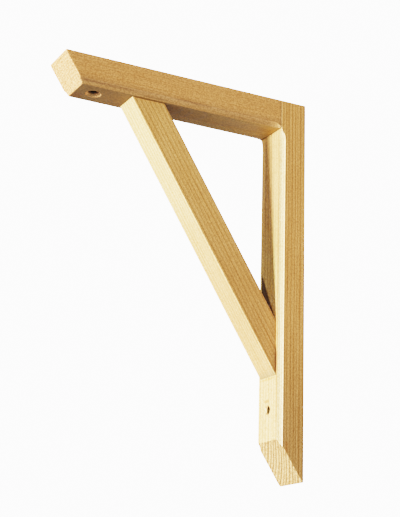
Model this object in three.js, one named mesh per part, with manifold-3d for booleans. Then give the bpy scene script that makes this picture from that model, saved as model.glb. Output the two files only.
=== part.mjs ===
// Wooden shelf bracket: an upright leg and a level arm, glued at a corner, with a diagonal brace.
// Millimetres, +Z up. The wall is the plane y = 0, the arm points along -Y and the shelf lies on top.
// The origin is the middle of the leg's back, where it meets the wall.
import * as THREE from 'three';
import { mergeVertices } from 'three/addons/utils/BufferGeometryUtils.js';
import Module from 'manifold-3d';

const wasm = await Module();
wasm.setup();

// Leg and arm
const height = 245;              // from the shelf down to the leg's lower tip
const reach = 168;               // from the wall to the arm's tip
const width = 26.4;              // leg and arm, across the bracket
const legDepth = 18;             // from the wall to the leg's front face
const armDepth = 19.3;           // from the shelf to the arm's underside
const endCutAngle = 34;          // degrees from upright, at the free end of leg and arm
const bluntTip = 1.2;            // flat left at the tip of each end cut

// Brace
const braceWidth = 18.6;         // across the bracket
const braceDepth = 18.8;         // square to its length
const braceFootHeight = 64;      // its front edge on the leg, above the leg's lower tip
const braceSetback = 46;         // its front edge under the arm, back from the arm's tip

// Routed inner edges: a shallow cove, cut on leg and arm alike with a ball-bearing cutter
const coveOnSide = 3.4;          // width of the cove on the side face
const coveOnFace = 2;            // width of the cove on the inner face
const coveHollow = 0.4;          // 0 is a straight bevel, 1 is a square rebate
const bearingRadius = 8;         // keeps the cutter out of the inner corner

// Countersunk screw holes, one to the wall and one to the shelf
const legHoleHeight = 44;        // above the leg's lower tip
const legHoleDiameter = 4.4;
const legSinkDiameter = 5.8;
const armHoleInset = 24;         // back from the arm's tip
const armHoleDiameter = 5;
const armSinkDiameter = 9.8;

const glueLine = 0.3;            // clearance between glued pieces

// Facets and the overshoot of a cutting shape past the wood
const arcSteps = 6;
const turnSteps = 64;
const holeSides = 36;
const overshoot = 2;

// Places that follow from the sizes, in the side view of y and z
const topZ = height / 2;
const bottomZ = -height / 2;
const frontY = -legDepth;
const underZ = topZ - armDepth;
const endCut = THREE.MathUtils.degToRad(endCutAngle);
const braceFootZ = bottomZ + braceFootHeight;
const braceTopY = -reach + braceSetback;
const braceLean = Math.atan2(frontY - braceTopY, underZ - braceFootZ);

function toSolid(geometry) {
  geometry.deleteAttribute('normal');
  geometry.deleteAttribute('uv');
  const merged = mergeVertices(geometry);
  return new wasm.Manifold(new wasm.Mesh({
    numProp: 3,
    vertProperties: new Float32Array(merged.attributes.position.array),
    triVerts: new Uint32Array(merged.index.array),
  }));
}

function toGeometry(solid) {
  const mesh = solid.getMesh();
  const geometry = new THREE.BufferGeometry();
  geometry.setAttribute('position', new THREE.BufferAttribute(mesh.vertProperties, 3));
  geometry.setIndex(new THREE.BufferAttribute(mesh.triVerts, 1));
  geometry.computeVertexNormals();
  return geometry;
}

function extrude(outline, length) {
  const shape = new THREE.Shape(outline);
  return new THREE.ExtrudeGeometry(shape, { depth: length, bevelEnabled: false });
}

// A side-view outline of [y, z] points, sawn from a board as thick as the given width
function sawn(outline, boardWidth) {
  const geometry = extrude(outline.map(([y, z]) => new THREE.Vector2(y, z)), boardWidth);
  const sideOn = new THREE.Matrix4().makeBasis(
    new THREE.Vector3(0, 1, 0),
    new THREE.Vector3(0, 0, 1),
    new THREE.Vector3(1, 0, 0),
  );
  geometry.applyMatrix4(sideOn);
  geometry.translate(-boardWidth / 2, 0, 0);
  return toSolid(geometry);
}

// What the cutter takes off one inner edge, as points of x and depth below the inner face.
// side is 1 for the +X edge and -1 for the -X edge.
function cutterSection(side) {
  const pull = (1 + coveHollow) / 2;
  const curve = new THREE.QuadraticBezierCurve(
    new THREE.Vector2(0, coveOnSide),
    new THREE.Vector2(coveOnFace * pull, coveOnSide * pull),
    new THREE.Vector2(coveOnFace, 0),
  );
  const section = curve.getPoints(arcSteps);
  section.push(new THREE.Vector2(coveOnFace, -overshoot));
  section.push(new THREE.Vector2(-overshoot, -overshoot));
  section.push(new THREE.Vector2(-overshoot, coveOnSide));
  return section.map(({ x: inward, y: depth }) => new THREE.Vector2(side * (width / 2 - inward), depth));
}

// The cutter's straight run down the leg, from where its bearing leaves the corner
function legRun(section) {
  const startZ = bottomZ - overshoot;
  const geometry = extrude(section, underZ - bearingRadius - startZ);
  geometry.translate(0, frontY, startZ);
  return toSolid(geometry);
}

// The cutter's straight run out along the arm
function armRun(section) {
  const startY = frontY - bearingRadius;
  const geometry = extrude(section, reach + overshoot + startY);
  geometry.rotateX(Math.PI / 2);
  geometry.translate(0, startY, underZ);
  return toSolid(geometry);
}

// The cutter turning in the corner, round its bearing
function cornerTurn(section) {
  const ring = section.map(({ x, y: depth }) => new THREE.Vector2(bearingRadius + depth, x));
  if (THREE.ShapeUtils.isClockWise(ring)) {
    ring.reverse();
  }
  ring.push(ring[0].clone());
  const geometry = new THREE.LatheGeometry(ring, turnSteps);
  geometry.rotateZ(-Math.PI / 2);
  geometry.translate(0, frontY - bearingRadius, underZ - bearingRadius);
  return toSolid(geometry);
}

function routeInnerEdges(solid) {
  let routed = solid;
  for (const side of [1, -1]) {
    const section = cutterSection(side);
    for (const run of [legRun, armRun, cornerTurn]) {
      routed = routed.subtract(run(section));
    }
  }
  return routed;
}

// A countersunk hole that opens at y = 0 and goes into the wood along +Y
function screwHole(holeDiameter, sinkDiameter, woodDepth) {
  const holeRadius = holeDiameter / 2;
  const sinkRadius = sinkDiameter / 2;
  const profile = [
    new THREE.Vector2(0, -overshoot),
    new THREE.Vector2(sinkRadius + overshoot, -overshoot),
    new THREE.Vector2(holeRadius, sinkRadius - holeRadius),
    new THREE.Vector2(holeRadius, woodDepth + overshoot),
    new THREE.Vector2(0, woodDepth + overshoot),
  ];
  return new THREE.LatheGeometry(profile, holeSides);
}

function makeLeg() {
  const cutTopZ = bottomZ + (legDepth - bluntTip) / Math.tan(endCut);
  const board = sawn([
    [0, topZ],
    [frontY, topZ],
    [frontY, cutTopZ],
    [-bluntTip, bottomZ],
    [0, bottomZ],
  ], width);
  const hole = screwHole(legHoleDiameter, legSinkDiameter, legDepth);
  hole.translate(0, frontY, bottomZ + legHoleHeight);
  return routeInnerEdges(board).subtract(toSolid(hole));
}

function makeArm() {
  const buttY = frontY - glueLine;
  const cutEndY = -reach + (armDepth - bluntTip) * Math.tan(endCut);
  const board = sawn([
    [buttY, topZ],
    [-reach, topZ],
    [-reach, topZ - bluntTip],
    [cutEndY, underZ],
    [buttY, underZ],
  ], width);
  const hole = screwHole(armHoleDiameter, armSinkDiameter, armDepth);
  hole.rotateX(Math.PI / 2);
  hole.translate(0, -reach + armHoleInset, underZ);
  return routeInnerEdges(board).subtract(toSolid(hole));
}

function makeBrace() {
  const headZ = underZ - glueLine;
  const footY = frontY - glueLine;
  const backFootZ = braceFootZ + braceDepth / Math.sin(braceLean);
  const yAt = (z, startZ) => frontY - (z - startZ) * Math.tan(braceLean);
  const zAt = (y, startZ) => startZ + (frontY - y) / Math.tan(braceLean);
  return sawn([
    [yAt(headZ, braceFootZ), headZ],
    [footY, zAt(footY, braceFootZ)],
    [footY, zAt(footY, backFootZ)],
    [yAt(headZ, backFootZ), headZ],
  ], braceWidth);
}

const pine = { roughness: 0.7, metalness: 0 };
const pieces = [
  ['leg', makeLeg, new THREE.MeshStandardMaterial({ color: 0xd9b878, ...pine })],
  ['arm', makeArm, new THREE.MeshStandardMaterial({ color: 0xd2ac68, ...pine })],
  ['brace', makeBrace, new THREE.MeshStandardMaterial({ color: 0xe6c98d, ...pine })],
];

const bracket = new THREE.Group();
for (const [name, make, material] of pieces) {
  const mesh = new THREE.Mesh(toGeometry(make()), material);
  mesh.name = name;
  bracket.add(mesh);
}

export default bracket;
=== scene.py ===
import math

import bmesh
import bpy
from mathutils import Euler, Matrix, Vector, noise


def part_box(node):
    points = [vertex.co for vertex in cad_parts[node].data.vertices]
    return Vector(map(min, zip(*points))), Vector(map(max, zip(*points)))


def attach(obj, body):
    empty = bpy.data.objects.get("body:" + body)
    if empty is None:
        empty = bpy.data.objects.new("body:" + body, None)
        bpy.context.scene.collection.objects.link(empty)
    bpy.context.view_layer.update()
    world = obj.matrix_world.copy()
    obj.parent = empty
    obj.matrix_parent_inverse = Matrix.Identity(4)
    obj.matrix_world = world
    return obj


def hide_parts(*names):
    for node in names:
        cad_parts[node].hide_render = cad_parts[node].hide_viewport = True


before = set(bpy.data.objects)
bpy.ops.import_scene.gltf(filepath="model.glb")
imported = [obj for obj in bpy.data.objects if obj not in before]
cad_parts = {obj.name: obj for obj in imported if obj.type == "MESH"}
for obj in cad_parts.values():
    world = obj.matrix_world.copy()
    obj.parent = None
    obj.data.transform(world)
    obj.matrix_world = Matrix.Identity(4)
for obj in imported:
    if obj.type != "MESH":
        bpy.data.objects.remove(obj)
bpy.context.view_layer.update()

# Lengths are in millimetres in the object's frame, and metres only in Blender's data
MM = 0.001


def node_box(node):
    low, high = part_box(node)
    return low / MM, high / MM


# Sizes of the three sticks, read from the frame
leg_low, leg_high = node_box("leg")
arm_low, arm_high = node_box("arm")
brace_low, brace_high = node_box("brace")
WIDTH = leg_high.x - leg_low.x
SIDE = leg_high.x
LEG_DEPTH = leg_high.y - leg_low.y
LEG_LENGTH = leg_high.z - leg_low.z
ARM_DEPTH = arm_high.z - arm_low.z
REACH = leg_high.y - arm_low.y
TOP = leg_high.z
BOTTOM = leg_low.z
UNDER = arm_low.z
FRONT = leg_low.y
BRACE_WIDTH = brace_high.x - brace_low.x
BRACE_TOE = brace_low.z
BRACE_LEAN = math.atan2(brace_high.y - brace_low.y, brace_high.z - brace_low.z)

# Sizes that the boxes don't show, the same as the solids'
BRACE_DEPTH = 18.8
END_CUT = math.radians(34)
BLUNT_TIP = 1.2
COVE_ON_FACE = 2
COVE_HOLLOW = 0.4
BEARING_RADIUS = 8
LEG_HOLE_UP = 44
LEG_HOLE = 4.4
LEG_SINK = 5.8
ARM_HOLE_IN = 24
ARM_HOLE = 5
ARM_SINK = 9.8

# The cove is a little narrower on the leg's side face than on the arm's
COVE_ON_LEG_SIDE = 3.1
COVE_ON_ARM_SIDE = 3.6

# Hairlines where the glued pieces meet
BUTT_GAP = 0.03
TOE_GAP = 0.2
FOOT_GAP = 0.06
HEAD_GAP = 0.08

# Worn edges, and how finely the surfaces are cut up
EASE = 0.45
SAWN_EASE = 0.15
ARC_STEPS = 6
EASE_STEPS = 4
FLAT_STEPS = 9
STATION_STEP = 1.6
CREASE_BAND = 0.15
CREASE_ANGLE = math.radians(28)

# The rings of points stand square to a stick, and lean over this last stretch before the end cut
LEANING_RUN = 12

# Drilled holes, with walls that the drill tore slightly
HOLE_SIDES = 64
OVERSHOOT = 3
TEAR = 0.02
TEAR_PITCH = 3
TEAR_FINENESS = 2


# Camera, fitted to the photograph's 400 x 517 frame

IMAGE_HEIGHT = 517
FOCAL_PIXELS = 1297.6
SENSOR_HEIGHT = 36
CAMERA_PLACE = Vector((684.36, -414.01, -217.13))
CAMERA_TILT = math.radians(106.5444)
CAMERA_ROLL = math.radians(-1.6118)
CAMERA_HEADING = math.radians(62.6654)
NEAREST = 10
FARTHEST = 20000


def make_camera():
    data = bpy.data.cameras.new("camera")
    data.sensor_fit = "VERTICAL"
    data.sensor_height = SENSOR_HEIGHT
    data.lens = FOCAL_PIXELS / IMAGE_HEIGHT * SENSOR_HEIGHT
    data.clip_start = NEAREST * MM
    data.clip_end = FARTHEST * MM
    camera = bpy.data.objects.new("camera", data)
    turn = Euler((CAMERA_TILT, CAMERA_ROLL, CAMERA_HEADING)).to_matrix()
    camera.matrix_world = Matrix.Translation(CAMERA_PLACE * MM) @ turn.to_4x4()
    bpy.context.collection.objects.link(camera)
    bpy.context.scene.camera = camera


# Sections of the sticks

# Both coordinates of the cove's curve bend by this share of their widths
COVE_PULL = (1 + COVE_HOLLOW) / 2


def cutter_inset(depth, on_side):
    """How far the cove goes in from the side, at a depth below the inner face."""
    rest = 1 - min(max(depth, 0), on_side) / on_side
    square = 1 - 2 * COVE_PULL
    linear = 2 * COVE_PULL - 2
    t = (-linear - math.sqrt(linear * linear - 4 * square * rest)) / (2 * square)
    return COVE_ON_FACE * (2 * t * (1 - t) * COVE_PULL + t * t)


def routed_corner(from_corner, cove_on_side):
    """The cove as (inset, depth) points, at a distance from the inner corner of leg and arm."""
    lag = max(BEARING_RADIUS - from_corner, 0)
    reach = cove_on_side + BEARING_RADIUS
    on_side = math.sqrt(max(reach * reach - lag * lag, 0)) - BEARING_RADIUS
    on_side = max(on_side, SAWN_EASE)
    points = []
    for step in range(ARC_STEPS + 1):
        t = step / ARC_STEPS
        depth = on_side * ((1 - t) * (1 - t) + 2 * t * (1 - t) * COVE_PULL)
        cutter_depth = math.hypot(depth + BEARING_RADIUS, lag) - BEARING_RADIUS
        inset = max(cutter_inset(cutter_depth, cove_on_side), SAWN_EASE * t)
        points.append((inset, depth))
    return points


def eased_corner(radius):
    points = []
    for step in range(ARC_STEPS + 1):
        angle = math.pi / 2 * step / ARC_STEPS
        points.append((radius * (1 - math.cos(angle)), radius * (1 - math.sin(angle))))
    return points


def stops(start, end):
    """Points between two ends, with one close to each end to keep the crease there crisp."""
    band = math.copysign(CREASE_BAND, end - start)
    made = [start + band]
    for step in range(1, FLAT_STEPS):
        made.append(start + (end - start) * step / FLAT_STEPS)
    made.append(end - band)
    return made


def section(width, depth, back_corner, front_corner):
    """Four sides of a stick's section as (across, depth) points, each from mid-corner to mid-corner."""
    half = width / 2
    middle = ARC_STEPS // 2
    back = [(half - inset, down) for inset, down in back_corner]
    front = [(half - inset, depth - down) for inset, down in front_corner]
    back_flat = back[-1][0]
    front_flat = front[-1][0]
    back_side = [(-across, down) for across, down in back[middle:]]
    back_side += [(across, 0) for across in stops(-back_flat, back_flat)]
    back_side += back[:middle - 1:-1]
    right_side = back[middle::-1]
    right_side += [(half, down) for down in stops(back[0][1], front[0][1])]
    right_side += front[:middle + 1]
    front_side = front[middle:]
    front_side += [(across, depth) for across in stops(front_flat, -front_flat)]
    front_side += [(-across, down) for across, down in front[:middle - 1:-1]]
    left_side = [(-across, down) for across, down in reversed(right_side)]
    return back_side, right_side, front_side, left_side


def shrunk(sides, width, depth, inset):
    """The section drawn in by an inset all round."""
    narrower = 1 - 2 * inset / width
    thinner = 1 - 2 * inset / depth
    made = []
    for side in sides:
        made.append([
            (across * narrower, depth / 2 + (down - depth / 2) * thinner)
            for across, down in side
        ])
    return made


def filled(sides):
    """A grid of points that fills the section, from its four sides."""
    back, right, front, left = sides
    front = front[::-1]
    left = left[::-1]
    columns = len(back) - 1
    rows = len(right) - 1
    grid = []
    for row in range(rows + 1):
        v = row / rows
        line = []
        for column in range(columns + 1):
            u = column / columns
            point = (
                (1 - v) * Vector(back[column]) + v * Vector(front[column])
                + (1 - u) * Vector(left[row]) + u * Vector(right[row])
                - (1 - u) * (1 - v) * Vector(back[0]) - u * (1 - v) * Vector(back[-1])
                - (1 - u) * v * Vector(front[0]) - u * v * Vector(front[-1])
            )
            line.append(point)
        grid.append(line)
    return grid


def around(sides):
    ring = []
    for side in sides:
        ring += side[:-1]
    return ring


# Sticks, lofted through their sections

def eased_stations(first, last, start_ease, ease):
    """Places along a stick as (station, inset), closer together where its two ends are rounded."""
    rounding = []
    for step in range(EASE_STEPS + 1):
        angle = math.pi / 2 * step / EASE_STEPS
        rounding.append((1 - math.sin(angle), 1 - math.cos(angle)))
    length = last - first
    count = round(length / STATION_STEP)
    stations = [(first + start_ease * near, start_ease * inset) for near, inset in reversed(rounding)]
    stations += [(first + length * step / count, 0) for step in range(1, count)]
    stations += [(last - ease * near, ease * inset) for near, inset in rounding]
    return stations


def square_then_cut(end_at):
    """Where a point lies along a stick that starts square and ends in a slanting cut."""
    last = end_at(0)

    def along(station, down, depth):
        lean_from = end_at(depth) - LEANING_RUN
        if station <= lean_from:
            return station
        share = (station - lean_from) / (last - EASE - lean_from)
        if share <= 1:
            return lean_from + (end_at(down) - EASE - lean_from) * share
        return end_at(down) - (last - station)

    return along


def cut_at_both_ends(start_at, end_at):
    """Where a point lies along a stick with a slanting cut at each end."""
    first = start_at(0)
    last = end_at(0)

    def along(station, down, depth):
        share = (station - first - SAWN_EASE) / (last - first - 2 * SAWN_EASE)
        start = start_at(down) + SAWN_EASE
        end = end_at(down) - SAWN_EASE
        if share < 0:
            return start + (station - first - SAWN_EASE)
        if share > 1:
            return end + (station - last + SAWN_EASE)
        return start + (end - start) * share

    return along


def ring_faces(ring_count, ring_length):
    """Faces between rings of points that follow each other."""
    faces = []
    for ring in range(ring_count - 1):
        for index in range(ring_length):
            after = (index + 1) % ring_length
            low = ring * ring_length
            high = low + ring_length
            faces.append((low + index, low + after, high + after, high + index))
    return faces


def end_faces(points, rim_start, sides, put):
    """Faces that fill an end inside its ring of points, with the new points added by put."""
    grid = filled(sides)
    rows = len(grid) - 1
    columns = len(grid[0]) - 1
    numbers = {}
    for index in range(columns):
        numbers[0, index] = rim_start + index
        numbers[rows, columns - index] = rim_start + columns + rows + index
    for index in range(rows):
        numbers[index, columns] = rim_start + columns + index
        numbers[rows - index, 0] = rim_start + 2 * columns + rows + index
    for line in range(1, rows):
        for column in range(1, columns):
            across, down = grid[line][column]
            numbers[line, column] = len(points)
            points.append(put(across, down))
    faces = []
    for line in range(rows):
        for column in range(columns):
            faces.append((
                numbers[line, column],
                numbers[line, column + 1],
                numbers[line + 1, column + 1],
                numbers[line + 1, column],
            ))
    return faces


def make_stick(name, width, depth, section_at, stations, along, place):
    """One stick, lofted from its section. place turns (across, depth, along) into the object's frame."""
    rings = [shrunk(section_at(station), width, depth, inset) for station, inset in stations]
    ring_length = len(around(rings[0]))
    points = []
    for sides, (station, _) in zip(rings, stations):
        for across, down in around(sides):
            points.append(place(across, down, along(station, down, depth)))
    faces = ring_faces(len(rings), ring_length)
    for number in (0, len(rings) - 1):
        station = stations[number][0]

        def put(across, down):
            return place(across, down, along(station, down, depth))

        faces += end_faces(points, number * ring_length, rings[number], put)

    mesh = bpy.data.meshes.new(name)
    mesh.from_pydata([point * MM for point in points], [], faces)
    tidy = bmesh.new()
    tidy.from_mesh(mesh)
    bmesh.ops.recalc_face_normals(tidy, faces=tidy.faces)
    tidy.to_mesh(mesh)
    tidy.free()
    stick = bpy.data.objects.new(name, mesh)
    bpy.context.collection.objects.link(stick)
    return stick


# Drilled holes

def drill_tool(hole, sink, depth, place):
    """A closed round cutter for a countersunk hole, slightly torn all round."""
    hole_radius = hole / 2
    sink_radius = sink / 2
    bevel = sink_radius - hole_radius
    profile = [
        (sink_radius + OVERSHOOT, -OVERSHOOT),
        (sink_radius + EASE / 2, -EASE / 4),
        (sink_radius, EASE / 8),
        (hole_radius + EASE / 4, bevel - EASE / 8),
        (hole_radius, bevel + EASE / 4),
        (hole_radius, depth + OVERSHOOT),
    ]
    cutter = bmesh.new()
    rings = []
    for radius, down in profile:
        ring = []
        for side in range(HOLE_SIDES):
            angle = 2 * math.pi * side / HOLE_SIDES
            wall = Vector((math.cos(angle), math.sin(angle), down / TEAR_PITCH))
            torn = 1 + TEAR * noise.noise(wall * TEAR_FINENESS)
            spot = place(radius * torn * math.cos(angle), radius * torn * math.sin(angle), down)
            ring.append(cutter.verts.new(spot * MM))
        rings.append(ring)
    for low, high in zip(rings, rings[1:]):
        for side in range(HOLE_SIDES):
            after = (side + 1) % HOLE_SIDES
            cutter.faces.new((low[side], low[after], high[after], high[side]))
    cutter.faces.new(rings[0])
    cutter.faces.new(rings[-1])
    bmesh.ops.recalc_face_normals(cutter, faces=cutter.faces)
    mesh = bpy.data.meshes.new("cutter")
    cutter.to_mesh(mesh)
    cutter.free()
    tool = bpy.data.objects.new("cutter", mesh)
    bpy.context.collection.objects.link(tool)
    return tool


def drill(stick, hole, sink, depth, place):
    """A countersunk hole. place turns (side, side, depth) into the object's frame."""
    tool = drill_tool(hole, sink, depth, place)
    tool_mesh = tool.data
    cut = stick.modifiers.new("hole", "BOOLEAN")
    cut.operation = "DIFFERENCE"
    cut.solver = "EXACT"
    cut.object = tool
    graph = bpy.context.evaluated_depsgraph_get()
    drilled = bpy.data.meshes.new_from_object(stick.evaluated_get(graph))
    stick.modifiers.clear()
    plain = stick.data
    stick.data = drilled
    bpy.data.meshes.remove(plain)
    drilled.name = stick.name
    bpy.data.objects.remove(tool)
    bpy.data.meshes.remove(tool_mesh)


# The three pieces

def finish_stick(stick, node, material):
    stick.data.materials.clear()
    stick.data.materials.append(material)
    stick.data.shade_smooth()
    stick.data.set_sharp_from_angle(angle=CREASE_ANGLE)
    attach(stick, "root")
    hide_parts(node)


def end_of_leg(depth):
    return LEG_LENGTH - max(0, depth - BLUNT_TIP) / math.tan(END_CUT)


def end_of_arm(depth):
    return REACH - max(0, depth - BLUNT_TIP) * math.tan(END_CUT)


def make_leg():
    def section_at(station):
        routed = routed_corner(station - ARM_DEPTH, COVE_ON_LEG_SIDE)
        return section(WIDTH, LEG_DEPTH, eased_corner(EASE), routed)

    def place(across, down, along):
        return Vector((across, -down, TOP - along))

    def hole_place(across, up, down):
        return Vector((across, FRONT + down, BOTTOM + LEG_HOLE_UP + up))

    stations = eased_stations(0, end_of_leg(0), EASE, EASE)
    along = square_then_cut(end_of_leg)
    leg = make_stick("pine_leg", WIDTH, LEG_DEPTH, section_at, stations, along, place)
    drill(leg, LEG_HOLE, LEG_SINK, LEG_DEPTH, hole_place)
    finish_stick(leg, "leg", pine_of_leg())


def make_arm():
    def section_at(station):
        routed = routed_corner(station - LEG_DEPTH, COVE_ON_ARM_SIDE)
        return section(WIDTH, ARM_DEPTH, eased_corner(EASE), routed)

    def place(across, down, along):
        return Vector((across, -along, TOP - down))

    def hole_place(across, along, down):
        return Vector((across, -REACH + ARM_HOLE_IN + along, UNDER + down))

    stations = eased_stations(LEG_DEPTH + BUTT_GAP, end_of_arm(0), SAWN_EASE / 2, EASE)
    along = square_then_cut(end_of_arm)
    arm = make_stick("pine_arm", WIDTH, ARM_DEPTH, section_at, stations, along, place)
    drill(arm, ARM_HOLE, ARM_SINK, ARM_DEPTH, hole_place)
    finish_stick(arm, "arm", pine_of_arm())


def make_brace():
    up = Vector((0, -math.sin(BRACE_LEAN), math.cos(BRACE_LEAN)))
    back = Vector((0, math.cos(BRACE_LEAN), math.sin(BRACE_LEAN)))
    toe = Vector((0, brace_high.y, BRACE_TOE))

    def section_at(station):
        return section(BRACE_WIDTH, BRACE_DEPTH, eased_corner(EASE), eased_corner(EASE))

    def place(across, down, along):
        return toe + Vector((across, 0, 0)) + back * (BRACE_DEPTH - down) + up * along

    def start_at(down):
        behind = BRACE_DEPTH - down
        share = min(max(behind / BRACE_DEPTH, 0), 1)
        gap = TOE_GAP + (FOOT_GAP - TOE_GAP) * math.sqrt(share)
        return (toe.y + behind * math.cos(BRACE_LEAN) - FRONT + gap) / math.sin(BRACE_LEAN)

    def end_at(down):
        behind = BRACE_DEPTH - down
        return (UNDER - HEAD_GAP - toe.z - behind * math.sin(BRACE_LEAN)) / math.cos(BRACE_LEAN)

    stations = eased_stations(start_at(0), end_at(0), SAWN_EASE, SAWN_EASE)
    along = cut_at_both_ends(start_at, end_at)
    brace = make_stick("pine_brace", BRACE_WIDTH, BRACE_DEPTH, section_at, stations, along, place)
    finish_stick(brace, "brace", pine_of_brace())


# Node helpers

def node(tree, kind, inputs, output=0, **settings):
    made = tree.nodes.new("ShaderNode" + kind)
    for name, value in settings.items():
        setattr(made, name, value)
    for socket, value in inputs.items():
        if isinstance(value, bpy.types.NodeSocket):
            tree.links.new(value, made.inputs[socket])
        else:
            made.inputs[socket].default_value = value
    return made.outputs[output]


def maths(tree, operation, first, second=0.0, clamp=False):
    return node(tree, "Math", {0: first, 1: second}, operation=operation, use_clamp=clamp)


def fitted(tree, value, low, high, to_low=0.0, to_high=1.0):
    sockets = {"Value": value, "From Min": low, "From Max": high, "To Min": to_low, "To Max": to_high}
    return node(tree, "MapRange", sockets, clamp=True, interpolation_type="SMOOTHSTEP")


def noisy(tree, place, stretch, detail=2.0, output=0):
    scaled = node(tree, "VectorMath", {0: place, 1: stretch}, operation="MULTIPLY")
    sockets = {"Vector": scaled, "Scale": 1.0, "Detail": detail, "Roughness": 0.55}
    return node(tree, "TexNoise", sockets, output)


def tinted(tree, amount, colour, tint):
    """The colour multiplied by a tint, as far as the amount says."""
    sockets = {0: amount, 6: colour, 7: tint}
    return node(tree, "Mix", sockets, 2, data_type="RGBA", blend_type="MULTIPLY")


def blotch(tree, place, centre, size, soft=0.6):
    """1 at a centre, 0 outside an ellipsoid of the given half sizes."""
    away = node(tree, "VectorMath", {0: place, 1: centre}, operation="SUBTRACT")
    scaled = node(tree, "VectorMath", {0: away, 1: size}, operation="DIVIDE")
    distance = node(tree, "VectorMath", {0: scaled}, 1, operation="LENGTH")
    return fitted(tree, distance, 1.0, 1.0 - soft)


def beyond(tree, place, edges):
    """1 on the inner side of every edge, each a plane (point, inward direction, soft width)."""
    mask = 1.0
    for point, inward, soft in edges:
        away = node(tree, "VectorMath", {0: place, 1: point}, operation="SUBTRACT")
        depth = node(tree, "VectorMath", {0: away, 1: inward}, 1, operation="DOT_PRODUCT")
        mask = maths(tree, "MULTIPLY", mask, fitted(tree, depth, 0.0, soft))
    return mask


# Pine

EARLY = (0.90, 0.525, 0.222, 1)
LATE = (0.60, 0.28, 0.085, 1)
NO_TINT = (1, 1, 1, 1)

# Tints of the kinds of faces, and of the marks that all the wood shows. The side and front tints are
# painted light and shade: darker, warmer sides and paler fronts.
SIDE_PAINTED_SHADE = (0.99, 0.87, 0.79, 1)
FRONT_PAINTED_LIGHT = (1.07, 1.10, 1.13, 1)
END_RING_TINT = (0.42, 0.42, 0.33, 1)
FIBRE_TINT = (0.76, 0.69, 0.57, 1)
HAIR_TINT = (0.70, 0.60, 0.48, 1)
FLECK_TINT = (0.66, 0.48, 0.30, 1)
SPECKLE_TINT = (0.64, 0.57, 0.50, 1)
MOTTLE_TINT = (0.90, 0.86, 0.80, 1)
GRIT_TINT = (0.74, 0.62, 0.50, 1)
PORE_TINT = (0.36, 0.28, 0.22, 1)

# Tints of the marks, and of the painted light and shade, that have a place of their own
TAN = (0.86, 0.74, 0.56, 1)
OLIVE_SHADE = (0.30, 0.32, 0.26, 1)
FOOT_GAP_SHADE = (0.14, 0.08, 0.05, 1)
LESS_RED = (0.92, 1.14, 1.06, 1)
BRACE_FOOT_SHADE = (0.62, 0.75, 0.84, 1)
RUSTY = (0.92, 0.66, 0.50, 1)
BROWN = (0.50, 0.32, 0.18, 1)
HOLE_SHADE = (0.06, 0.04, 0.02, 1)
DUSKY = (0.66, 0.62, 0.60, 1)
COOL = (0.74, 0.92, 1.15, 1)
BRACE_SHADOW = (0.17, 0.14, 0.10, 1)

# How fine the marks are: noise cells in a millimetre, across the grain twice and along it
FIBRES = (1.4, 1.4, 0.02)
HAIRS = (2.6, 2.6, 0.10)
FLECKS = (1.5, 1.5, 0.25)
MOTTLE = (0.09, 0.09, 0.035)
GRIT = (2.2, 2.2, 0.8)
FINE_SPECKLE = (1.6, 1.6, 0.9)
COARSE_SPECKLE = (1.15, 1.15, 0.9)
RING_WANDER = (0.04, 0.04, 0.008)

# The same for the pores of end grain, along the object's own axes
PORES = (1.5, 0.9, 0.9)

# How far the rings wander, across the grain twice and along it
WANDER_REACH = (1.8, 1.8, 0)

# Relief of the grain, and how the surface takes light
RELIEF = 0.08
RELIEF_STRENGTH = 0.6
SPECULAR = 0.45
EARLY_ROUGHNESS = 0.6
LATE_ROUGHNESS = 0.48
ROUTED_SMOOTHING = 0.2

# Axes of the object's frame, as numbers of a vector's parts
ALONG_Y = 1
ALONG_Z = 2


def face_masks(tree, turn):
    """Object coordinates in millimetres, plain and with the grain along Z, and masks of the faces."""
    coordinates = tree.nodes.new("ShaderNodeTexCoord").outputs
    flat = node(tree, "VectorMath", {0: coordinates["Object"], "Scale": 1 / MM}, operation="SCALE")
    local = node(tree, "Mapping", {"Vector": flat, "Rotation": (turn, 0, 0)})
    facing = node(tree, "Mapping", {"Vector": coordinates["Normal"], "Rotation": (turn, 0, 0)})
    along = maths(tree, "ABSOLUTE", node(tree, "SeparateXYZ", {0: facing}, 2))
    across = maths(tree, "ABSOLUTE", node(tree, "SeparateXYZ", {0: facing}, 0))
    ends = fitted(tree, along, 0.3, 0.45)
    sides = fitted(tree, across, 0.97, 0.995)
    slopes = maths(tree, "MULTIPLY", fitted(tree, across, 0.1, 0.2), fitted(tree, across, 0.995, 0.97))
    slopes = maths(tree, "MULTIPLY", slopes, maths(tree, "SUBTRACT", 1.0, ends))
    others = maths(tree, "MAXIMUM", ends, maths(tree, "MAXIMUM", sides, slopes))
    fronts = maths(tree, "SUBTRACT", 1.0, others)
    return flat, local, {"ends": ends, "sides": sides, "slopes": slopes, "fronts": fronts}


def ring_radius(tree, local, pith, drift):
    """Distance from the pith, bent by slow noise and by the grain's run-out along the stick."""
    wander = noisy(tree, local, RING_WANDER, 2.0, 1)
    wander = node(tree, "VectorMath", {0: wander, 1: (0.5, 0.5, 0.5)}, operation="SUBTRACT")
    wander = node(tree, "VectorMath", {0: wander, 1: WANDER_REACH}, operation="MULTIPLY")
    bent = node(tree, "VectorMath", {0: local, 1: wander}, operation="ADD")
    bent = node(tree, "VectorMath", {0: bent, 1: pith}, operation="SUBTRACT")
    bent = node(tree, "VectorMath", {0: bent, 1: (1, 1, 0)}, operation="MULTIPLY")
    radius = node(tree, "VectorMath", {0: bent}, 1, operation="LENGTH")
    start, end, amount = drift
    along = node(tree, "SeparateXYZ", {0: local}, 2)
    return maths(tree, "ADD", radius, fitted(tree, along, start, end, 0.0, amount))


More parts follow.
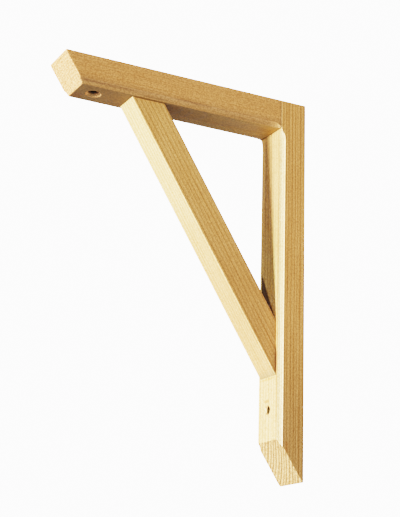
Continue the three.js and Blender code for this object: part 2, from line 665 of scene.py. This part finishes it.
def ring_lines(tree, radius, spacing):
    """Latewood, 0 to 1: a thin line at the outer edge of every ring, and a broader band for end grain."""
    uneven = node(tree, "TexNoise", {"W": radius, "Scale": 0.2, "Detail": 1.0}, 0, noise_dimensions="1D")
    turns = maths(tree, "ADD", maths(tree, "DIVIDE", radius, spacing), maths(tree, "MULTIPLY", uneven, 0.8))
    ring = maths(tree, "FLOOR", turns)
    across_ring = maths(tree, "FRACT", turns)
    strength = node(tree, "TexWhiteNoise", {"W": ring}, 0, noise_dimensions="1D")
    strength = maths(tree, "ADD", maths(tree, "MULTIPLY", strength, 0.3), 0.7)
    fall = maths(tree, "MULTIPLY", fitted(tree, across_ring, 1.0, 0.92), strength)
    lines = maths(tree, "MULTIPLY", fitted(tree, across_ring, 0.45, 0.88), fall)
    bands = maths(tree, "MULTIPLY", fitted(tree, across_ring, 0.2, 0.6), fall)
    return lines, bands


def grain_layers(tree, flat, local, masks, fibres):
    """Marks all over the wood, each as (mask, strength, tint)."""
    flecks = fitted(tree, noisy(tree, local, FLECKS, 1.0), 0.62, 0.76)
    mottle = fitted(tree, noisy(tree, local, MOTTLE, 3.0), 0.35, 0.75)
    grit = fitted(tree, noisy(tree, local, GRIT, 1.0), 0.45, 0.65)
    pores = fitted(tree, noisy(tree, flat, PORES, 1.0), 0.42, 0.60)
    return [
        (fitted(tree, fibres, 0.38, 0.68), 0.6, FIBRE_TINT),
        (noisy(tree, local, HAIRS, 2.0), 0.25, HAIR_TINT),
        (flecks, 0.40, FLECK_TINT),
        (mottle, 0.60, MOTTLE_TINT),
        (maths(tree, "MULTIPLY", masks["fronts"], grit), 0.6, GRIT_TINT),
        (maths(tree, "MULTIPLY", masks["ends"], pores), 0.7, PORE_TINT),
    ]


def placed_layers(tree, flat, masks, fades, painted_shades, blemishes):
    """Marks and painted shade with a place of their own, each as (mask, strength, tint)."""
    layers = []
    for where, axis, start, end, tint in fades:
        place = node(tree, "SeparateXYZ", {0: flat}, axis)
        layers.append((fitted(tree, place, start, end), masks[where], tint))
    for edges, tint in painted_shades:
        layers.append((beyond(tree, flat, edges), 1.0, tint))
    for centre, size, tint, strength, *soft in blemishes:
        layers.append((blotch(tree, flat, centre, size, *soft), strength, tint))
    return layers


def set_surface(tree, shader, slopes, latewood, fibres, speckle):
    """Roughness and a slight relief, which follow the grain."""
    rough = fitted(tree, latewood, 0.0, 1.0, EARLY_ROUGHNESS, LATE_ROUGHNESS)
    rough = maths(tree, "SUBTRACT", rough, maths(tree, "MULTIPLY", slopes, ROUTED_SMOOTHING))
    tree.links.new(rough, shader.inputs["Roughness"])
    shader.inputs["Specular IOR Level"].default_value = SPECULAR
    relief = 0.0
    for height, share in ((latewood, 0.6), (fibres, 0.9), (speckle, 0.5)):
        relief = maths(tree, "ADD", relief, maths(tree, "MULTIPLY", height, share))
    bump = node(tree, "Bump", {"Height": relief, "Distance": RELIEF * MM, "Strength": RELIEF_STRENGTH})
    tree.links.new(bump, shader.inputs["Normal"])


def pine(name, turn, pith, spacing, contrast, tone, cove_light_and_shade, end_tint, end_rings,
         speckle_size=FINE_SPECKLE, drift=(0, 1, 0), fades=(), blemishes=(), painted_shades=()):
    """Raw planed pine. turn lays the grain along local Z, pith is the rings' middle in local X and Y.

    spacing is a ring's width, and contrast and end_rings are the rings' strength on the faces and ends.
    drift is how the grain runs out: from one place along the stick to another, by an amount.
    fades are (faces, axis, start, end, tint), blemishes are (centre, half sizes, tint, strength, softness)
    and painted_shades are (edges, tint), patches of painted shade, all of them in the object's frame.
    """
    material = bpy.data.materials.new(name)
    material.use_nodes = True
    tree = material.node_tree
    shader = tree.nodes["Principled BSDF"]
    flat, local, masks = face_masks(tree, turn)
    latewood, bands = ring_lines(tree, ring_radius(tree, local, pith, drift), spacing)
    fibres = noisy(tree, local, FIBRES, 3.0)
    speckle = fitted(tree, noisy(tree, local, speckle_size, 1.0), 0.38, 0.62)

    layers = [
        (1.0, 1.0, tone),
        (speckle, 0.75, SPECKLE_TINT),
        # Painted light and shade by the kind of face: paler fronts, darker and warmer sides
        (masks["fronts"], 1.0, FRONT_PAINTED_LIGHT),
        (masks["sides"], 1.0, SIDE_PAINTED_SHADE),
        # Painted light and shade on the coves, by each stick's own tint
        (masks["slopes"], 1.0, cove_light_and_shade),
        (masks["ends"], 1.0, end_tint),
        (maths(tree, "MULTIPLY", masks["ends"], bands), end_rings, END_RING_TINT),
    ]
    layers += grain_layers(tree, flat, local, masks, fibres)
    layers += placed_layers(tree, flat, masks, fades, painted_shades, blemishes)
    amount = maths(tree, "MULTIPLY", latewood, contrast, clamp=True)
    colour = node(tree, "Mix", {0: amount, 6: EARLY, 7: LATE}, 2, data_type="RGBA")
    for mask, strength, tint in layers:
        colour = tinted(tree, maths(tree, "MULTIPLY", mask, strength), colour, tint)
    tree.links.new(colour, shader.inputs["Base Color"])
    set_surface(tree, shader, masks["slopes"], latewood, fibres, speckle)
    return material


def pine_of_leg():
    hole = BOTTOM + LEG_HOLE_UP
    fades = [
        # Painted shade: the sides darker towards the bottom, and the front darker towards the top
        ("sides", ALONG_Z, -10, -110, (0.71, 0.745, 0.79, 1)),
        ("fronts", ALONG_Z, -50, 30, (0.86, 0.83, 0.78, 1)),
    ]
    blemishes = [
        # A rusty patch on the side at the end cut
        ((SIDE, -12.1, -102.1), (1.0, 1.6, 5.0), RUSTY, 0.6),
        # A streak above the screw hole, and painted shade inside the hole
        ((-1.4, FRONT, hole + 5.5), (4.2, 1.4, 1.3), BROWN, 0.7),
        ((0, FRONT + 5.0, hole), (6.0, 5.2, 6.0), OLIVE_SHADE, 1.0, 0.3),
        # Painted shade: dark lines beside and below the brace's foot, where its joint with the leg lies in
        # shade
        ((9.5, FRONT, BRACE_TOE + 9.0), (1.0, 1.0, 11.5), FOOT_GAP_SHADE, 1.0, 0.5),
        ((0, FRONT, BRACE_TOE - 1.3), (10.5, 1.0, 0.9), TAN, 0.9, 0.4),
        # A grain line on the front, and a darker line down the front's edge at the cove
        ((6.2, FRONT, -84.0), (1.0, 2.0, 20.0), TAN, 0.4),
        ((10.8, FRONT, 0), (0.85, 1.2, 150.0), BROWN, 0.8, 0.7),
    ]

    # The brace's back edge meets the leg at its heel. Its painted shadow fans out behind it, inside a
    # sloping edge.
    heel = BRACE_TOE + BRACE_DEPTH / math.sin(BRACE_LEAN)
    heel_corner = (BRACE_WIDTH / 2, FRONT, heel)
    slope = math.radians(27.7)
    on_front = ((0, FRONT + 0.3, heel), (0, -1, 0), 0.1)
    above = ((0, FRONT, heel), (0, 0, 1), 0.5)
    behind_brace = [
        (heel_corner, (-math.cos(slope), 0, -math.sin(slope)), 1.9),
        (heel_corner, (-1, 0, 0), 0.3),
        ((-BRACE_WIDTH / 2 - 0.6, FRONT, heel), (1, 0, 0), 0.8),
        on_front,
        above,
    ]
    # Painted shade colour: the leg's front in the brace's shadow above the heel is made less red
    above_heel = [
        ((8.5, FRONT, heel), (-1, 0, 0), 1.5),
        ((0, FRONT, 60), (0, 0, -1), 60),
        on_front,
        above,
    ]
    return pine(
        "pine_leg",
        turn=0,
        pith=(-60, -111, 0),
        spacing=1.7,
        contrast=0.9,
        tone=(1.07, 1.12, 1.10, 1),
        # A painted sheen: the leg's cove is paler and whiter
        cove_light_and_shade=(1.38, 1.62, 1.92, 1),
        end_tint=(0.98, 0.96, 1.06, 1),
        end_rings=0.9,
        fades=fades,
        blemishes=blemishes,
        painted_shades=[(behind_brace, BRACE_SHADOW), (above_heel, LESS_RED)],
    )


def pine_of_arm():
    hole = -REACH + ARM_HOLE_IN
    blemishes = [
        # A rusty patch on the underside near the tip
        ((-7, hole - 9, UNDER), (6.0, 6.0, 1.0), RUSTY, 0.6),
        # The countersink, tinted cooler as painted light, and painted shade on the dark inside of the hole
        ((0, hole, UNDER + 0.4), (5.4, 5.4, 2.2), COOL, 0.9, 0.4),
        ((0, hole, UNDER + 6.8), (12.0, 12.0, 5.9), HOLE_SHADE, 1.0, 0.15),
    ]
    # Dusky streaks along the cove: across, middle, height, half length, half height and strength
    streaks = [
        (13, -141, 2.4, 32, 1.0, 0.9),
        (12, -108, 1.2, 14, 0.8, 0.8),
        (13, -82, 3.4, 18, 0.9, 0.8),
        (12, -44, 1.0, 22, 0.8, 0.7),
    ]
    for across, middle, height, half_length, half_height, strength in streaks:
        centre = (across, middle, UNDER + height)
        blemishes.append((centre, (3.0, half_length, half_height), DUSKY, strength))
    fades = [
        # Painted shade and light: the underside darker than the top, and both lighter towards the leg
        ("fronts", ALONG_Z, TOP - 0.5, UNDER + 0.8, (0.36, 0.352, 0.29, 1)),
        ("fronts", ALONG_Y, -130, -95, (0.87, 0.89, 0.99, 1)),
        ("fronts", ALONG_Y, -108, -70, (1.27, 1.30, 1.22, 1)),
        ("fronts", ALONG_Y, -80, -25, (1.50, 1.56, 1.56, 1)),
        ("sides", ALONG_Z, UNDER + 7.8, UNDER + 3.3, (0.84, 0.86, 0.90, 1)),
    ]
    # Painted shade in the inner corner, where the arm's underside meets the leg
    inner_corner = [
        ((0, FRONT - 1, UNDER), (0, 1, 0), 0.5),
        ((0, FRONT, UNDER + 0.8), (0, 0, -1), 0.5),
    ]
    return pine(
        "pine_arm",
        turn=math.pi / 2,
        pith=(4, -40, 0),
        spacing=1.4,
        contrast=0.25,
        tone=NO_TINT,
        # Painted shade: the arm's cove, which faces down, is darker
        cove_light_and_shade=(0.73, 0.70, 0.70, 1),
        end_tint=(1.42, 1.26, 1.32, 1),
        end_rings=0.3,
        speckle_size=COARSE_SPECKLE,
        drift=(-120, -45, 7.6),
        fades=fades,
        blemishes=blemishes,
        painted_shades=[(inner_corner, OLIVE_SHADE)],
    )


def pine_of_brace():
    # Painted shade: the brace darker towards its foot
    fades = [
        ("fronts", ALONG_Z, 95, -30, (0.78, 0.65, 0.62, 1)),
        ("sides", ALONG_Z, 95, -30, (0.84, 0.78, 0.78, 1)),
    ]
    # Painted shade: the brace darker and cooler within a few millimetres of the leg
    beside_leg = [((0, FRONT - 4, 0), (0, 1, 0), 4)]
    return pine(
        "pine_brace",
        turn=-BRACE_LEAN,
        pith=(-72, 40, 0),
        spacing=1.8,
        contrast=0.8,
        tone=(1.14, 1.27, 1.26, 1),
        cove_light_and_shade=NO_TINT,
        end_tint=(0.8, 0.8, 0.8, 1),
        end_rings=0.5,
        fades=fades,
        painted_shades=[(beside_leg, BRACE_FOOT_SHADE)],
    )


# Floor, lights and background

FLOOR_BELOW = 430
FLOOR_HALF = 2500
FLOOR_COLOUR = (0.86, 0.85, 0.83, 1)
FLOOR_ROUGHNESS = 0.9
NEUTRAL = (1.0, 0.99, 0.97)
WARM = (1.0, 0.98, 0.95)
SKY_RADIANCE = 0.05
BACKDROP_RADIANCE = 5.4
EXPOSURE = 0.1

# Far lights: the way to each, its radiance on a white face square to it, its degrees across and its colour
LIGHTS = {
    "key": ((0.128, -1, -0.03), 3.27, 7.7, NEUTRAL),
    "second": ((1, -1.12, 0), 0.20, 8, (1.0, 0.95, 0.92)),
    "frontal": ((-0.02, -1, 0), 0.35, 2, NEUTRAL),
    "top": ((0, 0, 1), 0.60, 60, (1.0, 0.98, 0.94)),
    "left": ((-1, 0.1, 0.2), 0.35, 40, WARM),
}


def make_floor():
    half = FLOOR_HALF * MM
    level = (BOTTOM - FLOOR_BELOW) * MM
    corners = [(-half, -half, level), (half, -half, level), (half, half, level), (-half, half, level)]
    mesh = bpy.data.meshes.new("floor")
    mesh.from_pydata(corners, [], [(0, 1, 2, 3)])
    floor = bpy.data.objects.new("floor", mesh)
    bpy.context.collection.objects.link(floor)
    material = bpy.data.materials.new("pale_floor")
    material.use_nodes = True
    shader = material.node_tree.nodes["Principled BSDF"]
    shader.inputs["Base Color"].default_value = FLOOR_COLOUR
    shader.inputs["Roughness"].default_value = FLOOR_ROUGHNESS
    mesh.materials.append(material)


def make_lights():
    for name, (towards, radiance, angle, colour) in LIGHTS.items():
        data = bpy.data.lights.new(name, "SUN")
        data.energy = radiance * math.pi
        data.angle = math.radians(angle)
        data.color = colour
        light = bpy.data.objects.new(name, data)
        light.rotation_euler = Vector(towards).to_track_quat("Z", "Y").to_euler()
        bpy.context.collection.objects.link(light)


def make_world():
    """A faint warm sky lights the object, and the picture shows a bright plain backdrop."""
    world = bpy.data.worlds.new("studio")
    bpy.context.scene.world = world
    world.use_nodes = True
    tree = world.node_tree
    tree.nodes.clear()
    sky = node(tree, "Background", {"Color": (*WARM, 1), "Strength": SKY_RADIANCE})
    backdrop = node(tree, "Background", {"Color": (1, 1, 1, 1), "Strength": BACKDROP_RADIANCE})
    seen = tree.nodes.new("ShaderNodeLightPath").outputs["Is Camera Ray"]
    mixed = node(tree, "MixShader", {0: seen, 1: sky, 2: backdrop})
    output = tree.nodes.new("ShaderNodeOutputWorld")
    tree.links.new(mixed, output.inputs["Surface"])


def set_tones():
    view = bpy.context.scene.view_settings
    view.view_transform = "Filmic"
    view.look = "High Contrast"
    view.exposure = EXPOSURE
    view.gamma = 1


make_camera()
make_leg()
make_arm()
make_brace()
make_floor()
make_lights()
make_world()
set_tones()
